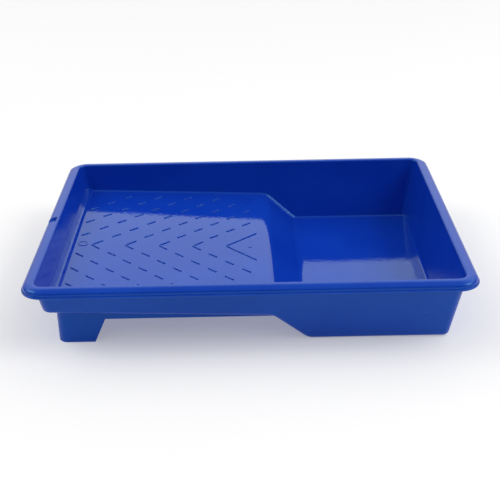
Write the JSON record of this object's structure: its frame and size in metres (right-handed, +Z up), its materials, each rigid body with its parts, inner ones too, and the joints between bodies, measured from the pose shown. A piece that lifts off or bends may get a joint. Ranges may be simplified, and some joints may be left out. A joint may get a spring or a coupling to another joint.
{
  "type": "paint roller tray",
  "caption": "Shallow plastic tray for loading a paint roller: a deep well at one end, a ramp with raised grip bars at the other, a rolled rim and short legs under the ramp.",
  "frame": {"origin": "on the ground, under the middle of the rim", "axes": "+X along the tray from the shallow end to the deep end, +Y across it towards the back, +Z up"},
  "size_m": [0.361, 0.28, 0.0587],
  "materials": {
    "blue_plastic": "glossy moulded polypropylene, royal blue"
  },
  "bodies": {
    "root": {"rim_front": "blue_plastic", "rim_back": "blue_plastic", "rim_shallow_end": "blue_plastic", "rim_deep_end": "blue_plastic", "rim_corner_front_shallow": "blue_plastic", "rim_corner_front_deep": "blue_plastic", "rim_corner_back_shallow": "blue_plastic", "rim_corner_back_deep": "blue_plastic", "wall_front_shallow": "blue_plastic", "wall_front_deep": "blue_plastic", "wall_back_shallow": "blue_plastic", "wall_back_deep": "blue_plastic", "wall_shallow_end": "blue_plastic", "wall_deep_end": "blue_plastic", "wall_corner_front_shallow": "blue_plastic", "wall_corner_front_deep": "blue_plastic", "wall_corner_back_shallow": "blue_plastic", "wall_corner_back_deep": "blue_plastic", "ramp_ledge": "blue_plastic", "ramp_panel": "blue_plastic", "ramp_grip_bars": "blue_plastic", "transition_slope": "blue_plastic", "well_floor": "blue_plastic", "leg_front": "blue_plastic", "leg_back": "blue_plastic", "rail_front": "blue_plastic", "rail_back": "blue_plastic", "rail_shallow_end": "blue_plastic"}
  },
  "joints": []
}
